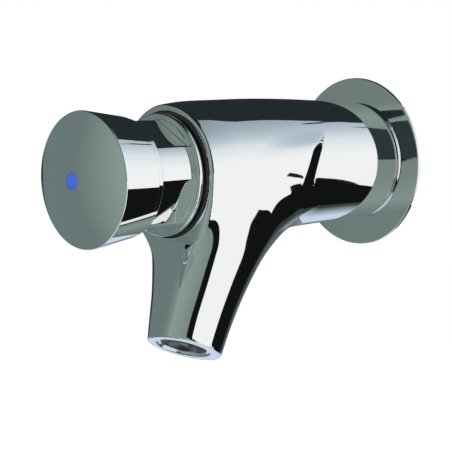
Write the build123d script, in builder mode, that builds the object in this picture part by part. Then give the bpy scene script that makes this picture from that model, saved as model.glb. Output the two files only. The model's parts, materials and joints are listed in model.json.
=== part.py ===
from build123d import *
from math import copysign, cos, radians, sin, sqrt
import os

# Push timed tap for a wall. Millimetres, +Z up, origin at the centre of the wall plate's back face.
# The barrel runs out from the wall along -Y. A station is a distance from the wall along the barrel.

# Shared clearances
fit_gap = 0.05
thread_gap = 0.1
seal_gap = 0.02
slide_gap = 0.3
overrun = 1.0

# Wall plate
plate_radius = 32.0
plate_thick = 1.2
plate_edge_radius = 0.4

# Body
barrel_radius = 24.7
body_wall = 3.7
rim_edge_radius = 1.2
rear_edge_radius = 1.6
spout_reach = 98.4
spout_drop = 60.7
spout_lean_degrees = 25.4
spout_root_length = 28.15
spout_wall = 3.4
outlet_radius = 12.3
outlet_edge_radius = 0.6

# Inlet tail
thread_radius = 10.478
tail_length = 18.0
tail_head_radius = 12.0
tail_head_length = 12.8
tail_bore_radius = 7.5
tail_neck_radius = 5.5
tail_shoulder_length = 3.0
tail_lead_length = 0.8
tail_relief_depth = 0.3
tail_ring_length = 6.8
tail_ring_depth = 1.9

# Filter and regulator
filter_wall = 0.5
filter_tube_radius = 5.4
filter_lip = 1.2
filter_end_gap = 1.0
filter_slots = 8
filter_slot_width = 1.6
filter_slot_length = 11.0
filter_slot_depth = 2.0
regulator_thick = 3.0
regulator_holes = 6
regulator_hole_radius = 1.1
regulator_circle_radius = 4.4

# Valve
passage_radius = 6.5
passage_length = 14.0
chamber_radius = 13.0
chamber_length = 18.0
seat_radius = 14.6
seat_thick = 5.0
seat_front_gap = 1.0
seat_bore_radius = 7.5
seat_lip_height = 1.0
seat_lip_width = 1.5
seat_ring_depth = 1.8
valve_radius = 9.5
valve_thick = 2.4
washer_thick = 1.5
washer_inset = 0.5
nut_width = 9.0
nut_thick = 3.0

# Timing chamber
cavity_step = 1.0
water_gap = 10.0
sleeve_length = 34.0
sleeve_front_gap = 1.0
sleeve_wall = 2.7
sleeve_web_thick = 3.0
sleeve_ring_length = 6.0
sleeve_ring_depth = 1.5
piston_room_length = 13.0
piston_length = 7.0
lip_gap = 0.08
lip_groove_depth = 2.7
lip_groove_width = 3.0
lip_groove_inset = 2.0
lip_flare = 1.2
pin_radius = 0.4
pin_circle_radius = 6.6
pin_overhang = 1.0

# Stem
stem_radius = 3.0
stem_end_length = 6.85
stem_tail_length = 1.0
collar_radius = 4.5
collar_length = 2.0
clip_groove_depth = 0.5
clip_thick = 1.0
clip_radius = 5.0
clip_mouth_width = 4.0

# Spring
coil_radius = 9.0
wire_radius = 0.8
coil_turns = 5
quarter_turns = 4

# Bonnet
bonnet_thread_length = 9.0
bonnet_wall = 3.7
rim_recess_depth = 2.15
rim_recess_step = 1.3
bonnet_ring_room = 2.1
flange_gap = 1.45
flange_thick = 2.25
flange_inset = 0.8
flange_edge_radius = 0.8
boss_length = 20.15
boss_inset = 2.35
boss_flat_depth = 2.15
boss_turn_degrees = 51.75
boss_chamfer_length = 0.5
boss_wall = 4.65
web_thick = 10.0
web_inset = 0.15
gland_radius = 6.0
gland_floor_thick = 2.0
seal_thick = 2.4
bush_thick = 3.8
gland_clip_thick = 1.0
gland_clip_depth = 0.8
gland_clip_width = 1.6

# Button
button_length = 18.15
button_flare = 2.45
button_edge_radius = 0.5
dome_height = 4.6
skirt_overlap = 5.3
skirt_lip_thick = 0.65
skirt_lip_edge_radius = 0.3
skirt_shoulder_length = 2.3
skirt_shoulder_step = 0.9
skirt_wall = 1.0
cap_thick = 1.2
dot_radius = 2.9
dot_depth = 2.4
hub_radius = 6.5
hub_overlap = 2.0
hub_disc_thick = 2.6
hub_gap = 0.4
screw_head_radius = 2.6
screw_head_length = 1.8
screw_radius = 1.5
screw_length = 6.0
screw_recess_depth = 0.4

# Jet in the mouth of the spout
mouth_radius = 9.65
mouth_depth = 9.6
throat_radius = 8.2
throat_length = 8.0
jet_recess_depth = 0.5
jet_length = 8.0
jet_wall = 1.5
jet_chamfer_length = 0.4
jet_washer_thick = 1.0
former_recess_depth = 1.4
former_length = 5.0
former_hub_radius = 1.8
former_rim_width = 0.9
former_vanes = 6
former_vane_thick = 0.9

# Barrel rings: share of its length, share of its radius, share of its radius that the centre rises
barrel_shares = [
    (0.0, 0.891, 0.004),
    (0.18, 0.919, 0.036),
    (0.37, 0.949, 0.061),
    (0.57, 0.988, 0.045),
    (0.78, 1.0, 0.028),
    (1.0, 0.99, 0.018),
]

# Spout sections: share of the drop, share of the way from the spout's root to its mouth, then the half
# width as a share of the way from the outlet's radius to the barrel's, the half depth as a share of the
# way from the outlet's radius to the root's distance from the rim, and the fullness, where 2 is an ellipse
spout_shares = [
    (0.08, 0.0, 0.855, 0.939, 3.2),
    (0.296, 0.049, 0.806, 0.810, 3.2),
    (0.428, 0.240, 0.635, 0.622, 2.8),
    (0.560, 0.488, 0.480, 0.394, 2.35),
    (0.692, 0.653, 0.331, 0.303, 2.2),
    (0.824, 0.796, 0.175, 0.259, 2.1),
    (0.956, 0.913, 0.065, 0.145, 2.0),
    (1.153, 1.080, -0.04, 0.04, 2.0),
]
section_points = 32
duct_top_share = 0.23
duct_reach_share = -0.04
duct_width_share = 0.65
duct_depth_share = 0.55
duct_rows = 3

# Stations, from the wall outwards
tail_head_end = plate_thick + tail_head_length
tail_ring_station = plate_thick + tail_ring_length
chamber_start = tail_head_end + passage_length
seat_station = chamber_start + chamber_length
cavity_start = seat_station + seat_thick + seat_front_gap
sleeve_start = cavity_start + water_gap
sleeve_end = sleeve_start + sleeve_length
sleeve_ring_start = sleeve_end - sleeve_ring_length
web_rear = sleeve_end + sleeve_front_gap
web_front = web_rear + web_thick
piston_rear = web_rear - piston_room_length
body_front = web_rear + web_inset
body_length = body_front - plate_thick
spout_root = body_front - spout_root_length
thread_end = body_front - rim_recess_depth
thread_start = thread_end - bonnet_thread_length
flange_rear = body_front + flange_gap
flange_front = flange_rear + flange_thick
boss_front = flange_front + boss_length
skirt_rear = boss_front - skirt_overlap
skirt_shoulder = skirt_rear + skirt_shoulder_length
button_front = skirt_rear + button_length
stem_front = button_front - stem_end_length
hub_rear = boss_front - hub_overlap

# Radii, from the barrel's skin inwards and on to the button
barrel_spread = barrel_radius - outlet_radius
root_spread = spout_root_length - outlet_radius
bonnet_thread_radius = barrel_radius - body_wall
cavity_radius = bonnet_thread_radius - cavity_step
rim_bore = bonnet_thread_radius + rim_recess_step
sleeve_radius = bonnet_thread_radius - thread_gap - bonnet_wall
sleeve_bore = sleeve_radius - sleeve_wall
bonnet_neck_radius = rim_bore - bonnet_ring_room
flange_radius = rim_bore - flange_inset
boss_corner_radius = flange_radius - boss_inset
boss_flat_radius = boss_corner_radius - boss_flat_depth
boss_bore = boss_corner_radius - boss_wall
lip_bore = boss_corner_radius + slide_gap
skirt_rear_radius = lip_bore + skirt_lip_thick
skirt_shoulder_radius = skirt_rear_radius + skirt_shoulder_step
button_radius = skirt_shoulder_radius + button_flare
jet_bore = mouth_radius - fit_gap - jet_wall
os.makedirs("parts", exist_ok=True)


def turned(points, mode=Mode.ADD):
    # A ring or shaft about the barrel's axis, from (station, radius) corners
    with BuildSketch(Plane.XY) as outline:
        with BuildLine():
            Polyline(*[(radius, -station) for station, radius in points], close=True)
        make_face()
    revolve(outline.sketch, axis=Axis.Y, mode=mode)


def tube(start, end, outer, inner=0.0, mode=Mode.ADD):
    turned([(start, inner), (start, outer), (end, outer), (end, inner)], mode)


def ring(station, middle_radius, cord_radius):
    # A round ring seal about the barrel's axis
    with BuildSketch(Plane.XY) as section:
        with Locations((middle_radius, -station)):
            Circle(cord_radius)
    revolve(section.sketch, axis=Axis.Y)


def full_round(half_width, half_depth, middle, fullness):
    # Points round a section that is fuller at its corners than an ellipse
    points = []
    for step in range(section_points):
        angle = radians(360 * step / section_points)
        across = copysign(abs(cos(angle)) ** (2 / fullness), cos(angle))
        along = copysign(abs(sin(angle)) ** (2 / fullness), sin(angle))
        points.append((half_width * across, middle + half_depth * along))
    return points


def finish(part, label):
    part.label = label
    export_step(part, f"parts/{label}.step")


# Wall plate: a thin disc with a rounded front edge, loose round the inlet tail
with BuildPart() as wall_flange:
    tube(0, plate_thick, plate_radius, thread_radius + thread_gap)
    front_edges = wall_flange.edges().filter_by(GeomType.CIRCLE).group_by(Axis.Y)[0]
    fillet(front_edges.sort_by(SortBy.RADIUS)[-1], plate_edge_radius)
finish(wall_flange.part, "wall_flange")

# Body: barrel and spout outside, stepped bores and a water way inside
mouth = Plane(
    origin=(0, -spout_reach, -spout_drop),
    x_dir=(1, 0, 0),
    z_dir=(0, -sin(radians(spout_lean_degrees)), -cos(radians(spout_lean_degrees))),
)
with BuildPart() as body:
    for length_share, radius_share, rise_share in barrel_shares:
        with BuildSketch(Plane.XZ.offset(plate_thick + length_share * body_length)):
            with Locations((0, rise_share * barrel_radius)):
                Circle(radius_share * barrel_radius)
    loft()
    fillet(body.edges().sort_by(Axis.Y)[0], rim_edge_radius)
    fillet(body.edges().sort_by(Axis.Y)[-1], rear_edge_radius)
    for drop_share, reach_share, width_share, depth_share, fullness in spout_shares:
        with BuildSketch(Plane.XY.offset(-drop_share * spout_drop)):
            half_width = outlet_radius + width_share * barrel_spread
            half_depth = outlet_radius + depth_share * root_spread
            with BuildLine():
                middle = -spout_root - reach_share * (spout_reach - spout_root)
                Spline(*full_round(half_width, half_depth, middle, fullness), periodic=True)
            make_face()
    loft()
    split(bisect_by=mouth, keep=Keep.BOTTOM)
    fillet(body.faces().sort_by(Axis.Z)[0].edges(), outlet_edge_radius)

    # Bores along the barrel
    tube(plate_thick - overrun, tail_head_end, tail_head_radius, mode=Mode.SUBTRACT)
    tube(tail_head_end, chamber_start, passage_radius, mode=Mode.SUBTRACT)
    tube(chamber_start, seat_station, chamber_radius, mode=Mode.SUBTRACT)
    tube(seat_station, cavity_start, seat_radius, mode=Mode.SUBTRACT)
    tube(cavity_start, thread_start, cavity_radius, mode=Mode.SUBTRACT)
    tube(thread_start, thread_end, bonnet_thread_radius, mode=Mode.SUBTRACT)
    tube(thread_end, body_front + overrun, rim_bore, mode=Mode.SUBTRACT)

    # Water way from the timing chamber down the spout
    with BuildSketch(Plane.XY.offset(-duct_top_share * spout_drop)):
        with Locations((0, -spout_root - duct_reach_share * (spout_reach - spout_root))):
            Ellipse(duct_width_share * cavity_radius, duct_depth_share * cavity_radius)
    for drop_share, reach_share, width_share, depth_share, fullness in spout_shares[duct_rows:-2]:
        with BuildSketch(Plane.XY.offset(-drop_share * spout_drop)):
            half_width = outlet_radius + width_share * barrel_spread - spout_wall
            half_depth = outlet_radius + depth_share * root_spread - spout_wall
            with Locations((0, -spout_root - reach_share * (spout_reach - spout_root))):
                Ellipse(half_width, half_depth)
    loft(mode=Mode.SUBTRACT)
    with BuildSketch(mouth):
        Circle(mouth_radius)
    extrude(amount=-mouth_depth, mode=Mode.SUBTRACT)
    with BuildSketch(mouth.offset(-mouth_depth)):
        Circle(throat_radius)
    extrude(amount=-throat_length, mode=Mode.SUBTRACT)
finish(body.part, "body")

# Inlet tail: a head sealed in the body's back and a G1/2 shank that goes into the wall
tail_head_start = plate_thick + thread_gap
with BuildPart() as inlet_tail:
    tube(tail_head_start, tail_head_end - fit_gap, tail_head_radius - fit_gap)
    tube(0, tail_head_start, thread_radius - tail_relief_depth)
    tube(-tail_length, 0, thread_radius)
    chamfer(inlet_tail.edges().group_by(Axis.Y)[-1], tail_lead_length)
    tube(-tail_length - overrun, tail_shoulder_length, tail_bore_radius, mode=Mode.SUBTRACT)
    tube(tail_shoulder_length, tail_head_end, tail_neck_radius, mode=Mode.SUBTRACT)
    tube(
        tail_ring_station,
        tail_ring_station + tail_ring_depth,
        tail_head_radius,
        tail_head_radius - tail_ring_depth,
        mode=Mode.SUBTRACT,
    )
finish(inlet_tail.part, "inlet_tail")

with BuildPart() as inlet_o_ring:
    ring(
        tail_ring_station + tail_ring_depth / 2,
        tail_head_radius - tail_ring_depth / 2,
        tail_ring_depth / 2 - seal_gap,
    )
finish(inlet_o_ring.part, "inlet_o_ring")

# Regulator disc against the tail's shoulder, then the strainer cup behind it
with BuildPart() as flow_regulator:
    tube(tail_shoulder_length - regulator_thick, tail_shoulder_length, tail_bore_radius - fit_gap)
    with BuildSketch(Plane.XZ.offset(tail_shoulder_length - regulator_thick)):
        with PolarLocations(regulator_circle_radius, regulator_holes):
            Circle(regulator_hole_radius)
    extrude(amount=regulator_thick, mode=Mode.SUBTRACT)
finish(flow_regulator.part, "flow_regulator")

filter_front = tail_shoulder_length - regulator_thick - fit_gap
filter_rear = filter_end_gap - tail_length
with BuildPart() as inlet_filter:
    turned(
        [
            (filter_front, tail_bore_radius - fit_gap),
            (filter_front, filter_tube_radius - filter_wall),
            (filter_rear + filter_wall, filter_tube_radius - filter_wall),
            (filter_rear + filter_wall, 0),
            (filter_rear, 0),
            (filter_rear, filter_tube_radius),
            (filter_front - filter_lip, filter_tube_radius),
            (filter_front - filter_lip, tail_bore_radius - fit_gap),
        ]
    )
    with BuildSketch(Plane.XZ.offset(filter_rear + filter_lip)):
        with PolarLocations(filter_tube_radius - filter_wall / 2, filter_slots):
            Rectangle(filter_slot_depth, filter_slot_width)
    extrude(amount=filter_slot_length, mode=Mode.SUBTRACT)
finish(inlet_filter.part, "inlet_filter")

# Valve seat with its raised lip on the inlet side, and the ring seal round it
with BuildPart() as valve_seat:
    turned(
        [
            (seat_station + fit_gap, seat_radius - fit_gap),
            (seat_station + seat_thick, seat_radius - fit_gap),
            (seat_station + seat_thick, seat_bore_radius),
            (seat_station - seat_lip_height, seat_bore_radius),
            (seat_station - seat_lip_height, seat_bore_radius + seat_lip_width),
            (seat_station + fit_gap, seat_bore_radius + seat_lip_width),
        ]
    )
    ring_start = seat_station + (seat_thick - seat_ring_depth) / 2
    ring_end = ring_start + seat_ring_depth
    tube(ring_start, ring_end, seat_radius, seat_radius - seat_ring_depth, mode=Mode.SUBTRACT)
finish(valve_seat.part, "valve_seat")

with BuildPart() as seat_o_ring:
    ring(seat_station + seat_thick / 2, seat_radius - seat_ring_depth / 2, seat_ring_depth / 2 - seal_gap)
finish(seat_o_ring.part, "seat_o_ring")

# Valve on the stem's tail: rubber washer, plate and nut, all on the inlet side of the seat
washer_front = seat_station - seat_lip_height - fit_gap
washer_rear = washer_front - washer_thick
plate_front = washer_rear - seal_gap
plate_rear = plate_front - valve_thick
nut_front = plate_rear - seal_gap
stem_rear = nut_front - nut_thick - stem_tail_length
with BuildPart() as valve_washer:
    tube(washer_rear, washer_front, valve_radius - washer_inset, stem_radius + seal_gap)
finish(valve_washer.part, "valve_washer")

with BuildPart() as valve_plate:
    tube(plate_rear, plate_front, valve_radius, stem_radius + seal_gap)
    rear_circles = valve_plate.edges().filter_by(GeomType.CIRCLE).group_by(Axis.Y)[-1]
    chamfer(rear_circles.sort_by(SortBy.RADIUS)[-1], washer_inset)
finish(valve_plate.part, "valve_plate")

with BuildPart() as valve_nut:
    with BuildSketch(Plane.XZ.offset(nut_front - nut_thick)):
        RegularPolygon(nut_width / 2, 6, major_radius=False)
        Circle(stem_radius + seal_gap, mode=Mode.SUBTRACT)
    extrude(amount=nut_thick)
finish(valve_nut.part, "valve_nut")

# Stem: a collar in front of the washer, a clip groove behind the piston and a collar in front of it
piston_front = piston_rear + piston_length
clip_rear = piston_rear - fit_gap - clip_thick
with BuildPart() as stem:
    tube(stem_rear, stem_front, stem_radius)
    tube(washer_front + seal_gap, washer_front + collar_length, collar_radius)
    tube(piston_front + seal_gap, piston_front + collar_length, collar_radius)
    tube(
        clip_rear - fit_gap,
        clip_rear + clip_thick + fit_gap,
        stem_radius + overrun,
        stem_radius - clip_groove_depth,
        mode=Mode.SUBTRACT,
    )
    tube(stem_front - screw_length, stem_front + overrun, screw_radius + fit_gap, mode=Mode.SUBTRACT)
finish(stem.part, "stem")

# Timing sleeve: open towards the button, with a web that the stem and the metering pin pass through
with BuildPart() as timing_sleeve:
    turned(
        [
            (sleeve_start, stem_radius + slide_gap),
            (sleeve_start, sleeve_radius),
            (sleeve_end, sleeve_radius),
            (sleeve_end, sleeve_bore),
            (sleeve_start + sleeve_web_thick, sleeve_bore),
            (sleeve_start + sleeve_web_thick, stem_radius + slide_gap),
        ]
    )
    tube(
        sleeve_ring_start,
        sleeve_ring_start + sleeve_ring_depth,
        sleeve_radius + overrun,
        sleeve_radius - sleeve_ring_depth,
        mode=Mode.SUBTRACT,
    )
    with BuildSketch(Plane.XZ.offset(sleeve_start)):
        with Locations((pin_circle_radius, 0)):
            Circle(pin_radius + seal_gap)
    extrude(amount=sleeve_web_thick, mode=Mode.SUBTRACT)
finish(timing_sleeve.part, "timing_sleeve")

with BuildPart() as metering_pin:
    with BuildSketch(Plane.XZ.offset(sleeve_start)):
        with Locations((pin_circle_radius, 0)):
            Circle(pin_radius)
    extrude(amount=piston_front + pin_overhang - sleeve_start)
finish(metering_pin.part, "metering_pin")

# Piston with a groove for the cup seal and a hole that the metering pin stands in
piston_radius = sleeve_bore - slide_gap
groove_rear = piston_rear + lip_groove_inset
with BuildPart() as piston:
    tube(piston_rear, piston_front, piston_radius, stem_radius + seal_gap)
    tube(
        groove_rear,
        groove_rear + lip_groove_width,
        piston_radius + overrun,
        piston_radius - lip_groove_depth,
        mode=Mode.SUBTRACT,
    )
    with BuildSketch(Plane.XZ.offset(piston_rear)):
        with Locations((pin_circle_radius, 0)):
            Circle(pin_radius + slide_gap)
    extrude(amount=piston_length, mode=Mode.SUBTRACT)
finish(piston.part, "piston")

lip_inner = piston_radius - lip_groove_depth + seal_gap
lip_outer = sleeve_bore - lip_gap
lip_rear = groove_rear + seal_gap
lip_front = groove_rear + lip_groove_width - seal_gap
with BuildPart() as lip_seal:
    turned(
        [
            (lip_front, lip_inner),
            (lip_front, piston_radius),
            (lip_rear, lip_outer),
            (lip_rear, lip_outer - lip_flare / 2),
            (lip_front - lip_flare, lip_inner + lip_flare),
            (lip_rear, lip_inner + lip_flare / 2),
            (lip_rear, lip_inner),
        ]
    )
finish(lip_seal.part, "lip_seal")

with BuildPart() as piston_clip:
    with BuildSketch(Plane.XZ.offset(clip_rear)):
        Circle(clip_radius)
        Circle(stem_radius - clip_groove_depth + seal_gap, mode=Mode.SUBTRACT)
        with Locations((0, -clip_radius)):
            Rectangle(clip_mouth_width, clip_radius + stem_radius, mode=Mode.SUBTRACT)
    extrude(amount=clip_thick)
finish(piston_clip.part, "piston_clip")

# Return spring between the sleeve's web and the piston, one tube along quarter turns of two arcs each
spring_rear = sleeve_start + sleeve_web_thick + wire_radius + fit_gap
spring_front = piston_rear - wire_radius - fit_gap
spring_rise = (spring_front - spring_rear) / coil_turns


def coil_point(turn):
    angle = radians(360 * turn)
    station = spring_rear + spring_rise * turn
    return Vector(coil_radius * cos(angle), -station, coil_radius * sin(angle))


def coil_direction(turn):
    angle = radians(360 * turn)
    turn_length = radians(360) * coil_radius
    direction = Vector(-turn_length * sin(angle), -spring_rise, turn_length * cos(angle))
    return direction.normalized()


with BuildPart() as return_spring:
    with BuildLine() as wire_path:
        for quarter in range(coil_turns * quarter_turns):
            start = coil_point(quarter / quarter_turns)
            end = coil_point((quarter + 1) / quarter_turns)
            leave = coil_direction(quarter / quarter_turns)
            arrive = coil_direction((quarter + 1) / quarter_turns)
            chord = end - start
            along = chord.dot(leave + arrive)
            turning = 2 * (1 - leave.dot(arrive))
            reach = (sqrt(along * along + turning * chord.dot(chord)) - along) / turning
            joint_direction = (end - arrive * reach) - (start + leave * reach)
            middle = (start + leave * reach + end - arrive * reach) * 0.5
            TangentArc(start, middle, tangent=leave)
            TangentArc(middle, end, tangent=joint_direction.normalized())
    with BuildSketch(Plane(origin=coil_point(0), z_dir=coil_direction(0))):
        Circle(wire_radius)
    sweep(path=wire_path.wire())
finish(return_spring.part, "return_spring")
print("spring: least gap between turns", round(spring_rise - 2 * wire_radius, 2), "mm")

# Bonnet: thread and neck in the body, round-edged flange, then the boss with four flats
with BuildPart() as bonnet:
    tube(thread_start + thread_gap, thread_end - thread_gap, bonnet_thread_radius - thread_gap)
    tube(thread_end - thread_gap, flange_rear, bonnet_neck_radius)
    tube(flange_rear, flange_front, flange_radius)
    circles = bonnet.edges().filter_by(GeomType.CIRCLE)
    fillet(circles.filter_by(lambda edge: edge.radius > flange_radius - fit_gap), flange_edge_radius)
    with BuildSketch(Plane.XZ.offset(flange_front)):
        Circle(boss_corner_radius)
        RegularPolygon(
            boss_flat_radius, 4, major_radius=False, rotation=boss_turn_degrees, mode=Mode.INTERSECT
        )
    extrude(amount=boss_front - flange_front)
    chamfer(bonnet.faces().sort_by(Axis.Y)[0].edges(), boss_chamfer_length)
    tube(thread_start, web_rear, sleeve_radius + fit_gap, mode=Mode.SUBTRACT)
    tube(web_rear, web_front, stem_radius + slide_gap, mode=Mode.SUBTRACT)
    tube(web_rear + gland_floor_thick, web_front + overrun, gland_radius, mode=Mode.SUBTRACT)
    tube(web_front, boss_front + overrun, boss_bore, mode=Mode.SUBTRACT)
    gland_seal_rear = web_rear + gland_floor_thick
    bush_rear = gland_seal_rear + seal_thick + fit_gap
    gland_clip_rear = bush_rear + bush_thick + fit_gap
    tube(
        gland_clip_rear - fit_gap,
        gland_clip_rear + gland_clip_thick + fit_gap,
        gland_radius + gland_clip_depth,
        mode=Mode.SUBTRACT,
    )
finish(bonnet.part, "bonnet")

with BuildPart() as bonnet_o_ring:
    ring(
        (thread_end + body_front) / 2,
        (rim_bore + bonnet_neck_radius) / 2,
        (rim_bore - bonnet_neck_radius) / 2 - seal_gap,
    )
finish(bonnet_o_ring.part, "bonnet_o_ring")

with BuildPart() as sleeve_o_ring:
    ring(
        sleeve_ring_start + sleeve_ring_depth / 2,
        sleeve_radius + fit_gap - (sleeve_ring_depth + fit_gap) / 2,
        sleeve_ring_depth / 2 - seal_gap,
    )
finish(sleeve_o_ring.part, "sleeve_o_ring")

with BuildPart() as stem_seal:
    seal_front = gland_seal_rear + seal_thick
    tube(gland_seal_rear + seal_gap, seal_front, gland_radius - seal_gap, stem_radius + fit_gap)
finish(stem_seal.part, "stem_seal")

with BuildPart() as guide_bush:
    tube(bush_rear, bush_rear + bush_thick, gland_radius - seal_gap, stem_radius + fit_gap)
finish(guide_bush.part, "guide_bush")

with BuildPart() as bush_clip:
    with BuildSketch(Plane.XZ.offset(gland_clip_rear)):
        Circle(gland_radius + gland_clip_depth - fit_gap)
        Circle(gland_radius - gland_clip_width, mode=Mode.SUBTRACT)
        with Locations((0, -gland_radius)):
            Rectangle(clip_mouth_width, gland_radius, mode=Mode.SUBTRACT)
    extrude(amount=gland_clip_thick)
finish(bush_clip.part, "bush_clip")

# Button: a domed cap on a skirt that tapers towards the wall, with a thin lip over the bonnet's boss
dome_radius = (button_radius**2 + dome_height**2) / (2 * dome_height)
dome_centre = button_front + dome_height - dome_radius
inner_dome_radius = dome_radius - cap_thick
inner_apex = dome_centre + inner_dome_radius
inner_radius = button_radius - skirt_wall
inner_front = dome_centre + sqrt(inner_dome_radius**2 - inner_radius**2)
with BuildPart() as button:
    with BuildSketch(Plane.XY) as cap_outline:
        with BuildLine():
            RadiusArc((0, -button_front - dome_height), (button_radius, -button_front), dome_radius)
            Line((button_radius, -button_front), (skirt_shoulder_radius, -skirt_shoulder))
            Line((skirt_shoulder_radius, -skirt_shoulder), (skirt_rear_radius, -skirt_rear))
            Line((skirt_rear_radius, -skirt_rear), (lip_bore, -skirt_rear))
            Line((lip_bore, -skirt_rear), (skirt_shoulder_radius - skirt_wall, -skirt_shoulder))
            Line((skirt_shoulder_radius - skirt_wall, -skirt_shoulder), (inner_radius, -inner_front))
            RadiusArc((inner_radius, -inner_front), (0, -inner_apex), -inner_dome_radius)
            Line((0, -inner_apex), (0, -button_front - dome_height))
        make_face()
    revolve(axis=Axis.Y)
    circles = button.edges().filter_by(GeomType.CIRCLE)
    fillet(circles.filter_by(lambda edge: edge.radius > button_radius - fit_gap), button_edge_radius)
    rear_circles = button.edges().filter_by(GeomType.CIRCLE).group_by(Axis.Y)[-1]
    fillet(rear_circles.sort_by(SortBy.RADIUS)[-1], skirt_lip_edge_radius)
    dot_bore = dot_radius + fit_gap
    tube(button_front - overrun, button_front + dome_height + overrun, dot_bore, mode=Mode.SUBTRACT)
finish(button.part, "button")

# Indicator: a plug whose face follows the dome
with BuildPart() as indicator_dot:
    with BuildSketch(Plane.XY):
        with BuildLine():
            dot_front = dome_centre + sqrt(dome_radius**2 - dot_radius**2)
            RadiusArc((0, -button_front - dome_height), (dot_radius, -dot_front), dome_radius)
            Line((dot_radius, -dot_front), (dot_radius, -dot_front + dot_depth))
            Line((dot_radius, -dot_front + dot_depth), (0, -dot_front + dot_depth))
            Line((0, -dot_front + dot_depth), (0, -button_front - dome_height))
        make_face()
    revolve(axis=Axis.Y)
finish(indicator_dot.part, "indicator_dot")

# Hub: a disc that seats under the dome's edge and a boss that takes the stem's end and the screw
disc_front = inner_front - hub_gap
disc_radius = inner_radius - slide_gap - hub_gap
screw_seat = disc_front - screw_recess_depth - screw_head_length
with BuildPart() as button_hub:
    tube(disc_front - hub_disc_thick, disc_front, disc_radius)
    tube(hub_rear, disc_front, hub_radius)
    tube(hub_rear - overrun, stem_front + seal_gap, stem_radius + seal_gap, mode=Mode.SUBTRACT)
    tube(stem_front, disc_front + overrun, screw_radius + fit_gap, mode=Mode.SUBTRACT)
    tube(screw_seat, disc_front + overrun, screw_head_radius + fit_gap, mode=Mode.SUBTRACT)
finish(button_hub.part, "button_hub")

with BuildPart() as hub_screw:
    tube(stem_front - screw_length + fit_gap, screw_seat, screw_radius)
    tube(screw_seat + seal_gap, screw_seat + screw_head_length, screw_head_radius)
    tube(screw_seat, screw_seat + seal_gap, screw_radius)
finish(hub_screw.part, "hub_screw")

# Jet in the mouth: flat washer, ring and moulded star
with BuildPart() as jet_washer:
    with BuildSketch(mouth.offset(-mouth_depth)):
        Circle(mouth_radius - fit_gap)
        Circle(throat_radius - fit_gap, mode=Mode.SUBTRACT)
    extrude(amount=jet_washer_thick)
finish(jet_washer.part, "jet_washer")

with BuildPart() as jet_housing:
    with BuildSketch(mouth.offset(-jet_recess_depth - jet_length)):
        Circle(mouth_radius - fit_gap)
        Circle(jet_bore, mode=Mode.SUBTRACT)
    extrude(amount=jet_length)
    circles = jet_housing.edges().filter_by(GeomType.CIRCLE)
    bore_circles = circles.filter_by(lambda edge: edge.radius < jet_bore + fit_gap)
    chamfer(bore_circles.sort_by(Axis.Z)[0], jet_chamfer_length)
finish(jet_housing.part, "jet_housing")

with BuildPart() as jet_former:
    with BuildSketch(mouth.offset(-former_recess_depth - former_length)):
        Circle(jet_bore - fit_gap)
        Circle(jet_bore - fit_gap - former_rim_width, mode=Mode.SUBTRACT)
        Circle(former_hub_radius)
        with PolarLocations((jet_bore - former_rim_width) / 2, former_vanes):
            Rectangle(jet_bore - former_rim_width, former_vane_thick)
    extrude(amount=former_length)
finish(jet_former.part, "jet_former")
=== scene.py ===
import bpy, json, math
import numpy as np
from functools import partial
from mathutils import Matrix, Vector

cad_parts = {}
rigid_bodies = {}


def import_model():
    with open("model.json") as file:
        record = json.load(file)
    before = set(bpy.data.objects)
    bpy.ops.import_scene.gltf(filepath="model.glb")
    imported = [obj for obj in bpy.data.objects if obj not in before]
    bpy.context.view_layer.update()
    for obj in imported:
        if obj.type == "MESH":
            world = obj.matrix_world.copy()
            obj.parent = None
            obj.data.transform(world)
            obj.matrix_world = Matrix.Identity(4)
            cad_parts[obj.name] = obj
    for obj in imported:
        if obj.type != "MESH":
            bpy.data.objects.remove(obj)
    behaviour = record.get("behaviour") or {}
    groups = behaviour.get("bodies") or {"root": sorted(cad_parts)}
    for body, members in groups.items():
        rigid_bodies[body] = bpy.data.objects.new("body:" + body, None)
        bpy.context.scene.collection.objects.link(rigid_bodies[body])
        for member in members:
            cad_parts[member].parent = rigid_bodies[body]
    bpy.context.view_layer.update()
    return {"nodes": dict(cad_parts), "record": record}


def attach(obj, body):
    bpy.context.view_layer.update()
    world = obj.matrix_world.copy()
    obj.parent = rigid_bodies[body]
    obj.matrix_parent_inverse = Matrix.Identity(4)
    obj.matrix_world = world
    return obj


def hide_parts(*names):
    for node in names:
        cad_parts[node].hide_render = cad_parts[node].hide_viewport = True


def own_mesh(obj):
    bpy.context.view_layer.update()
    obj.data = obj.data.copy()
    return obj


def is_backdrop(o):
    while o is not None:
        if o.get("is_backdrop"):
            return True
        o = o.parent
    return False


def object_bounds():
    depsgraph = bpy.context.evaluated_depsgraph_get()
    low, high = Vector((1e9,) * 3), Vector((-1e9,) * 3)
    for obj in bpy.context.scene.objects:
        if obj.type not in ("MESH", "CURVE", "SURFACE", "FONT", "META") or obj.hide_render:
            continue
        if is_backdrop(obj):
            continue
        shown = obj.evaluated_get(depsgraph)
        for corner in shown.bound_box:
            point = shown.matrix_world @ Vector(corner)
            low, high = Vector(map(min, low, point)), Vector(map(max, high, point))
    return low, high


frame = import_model()
nodes = frame["nodes"]
scene = bpy.context.scene
mm = 0.001


# Node helpers

def addNode(tree, kind, inputs=(), **settings):
    # inputs are plain values or other nodes' outputs, by socket name or number
    node = tree.nodes.new(kind)
    for key, value in settings.items():
        setattr(node, key, value)
    for key, value in dict(inputs).items():
        if isinstance(value, bpy.types.NodeSocket):
            tree.links.new(value, node.inputs[key])
        else:
            node.inputs[key].default_value = value
    return node


def mathNode(tree, operation, *values):
    return addNode(tree, "ShaderNodeMath", enumerate(values), operation=operation).outputs[0]


def rangeNode(tree, value, low, high, curve="LINEAR"):
    limits = {"Value": value, "From Min": low, "From Max": high}
    return addNode(tree, "ShaderNodeMapRange", limits, interpolation_type=curve).outputs["Result"]


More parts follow.
